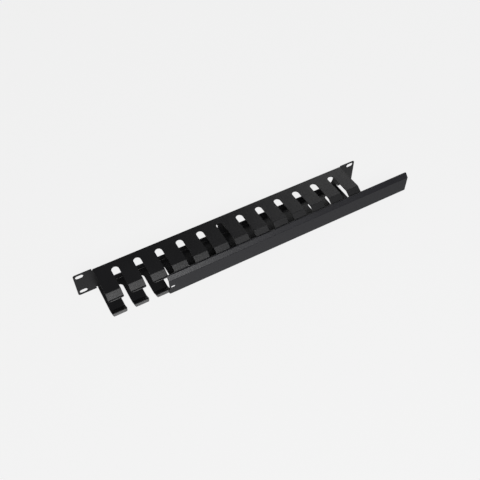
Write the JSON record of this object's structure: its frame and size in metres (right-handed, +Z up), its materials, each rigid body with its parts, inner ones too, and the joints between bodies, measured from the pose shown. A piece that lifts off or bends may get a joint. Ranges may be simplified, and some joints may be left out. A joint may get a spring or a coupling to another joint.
{
  "type": "horizontal cable manager",
  "caption": "Rack-mount horizontal cable manager: folded back plate with two rows of fingers and a long bevelled cover that slides along their flared tips.",
  "frame": {"origin": "centre of the four mounting slots, on the front face of the back plate", "axes": "+X along the rack's width to the right, -Y out towards the user, +Z up"},
  "size_m": [0.5394, 0.0699, 0.044],
  "materials": {
    "panel_powder_coat": "black powder coat, semi-gloss, fine grain",
    "cover_powder_coat": "black powder coat, semi-gloss, fine grain"
  },
  "bodies": {
    "panel": {"finger_panel": "panel_powder_coat"},
    "cover": {"cover": "cover_powder_coat"}
  },
  "joints": [
    {"name": "cover_slide", "type": "slide", "parent": "panel", "child": "cover", "axis": [1, 0, 0], "range_m": [-0.426, 0.254]}
  ]
}
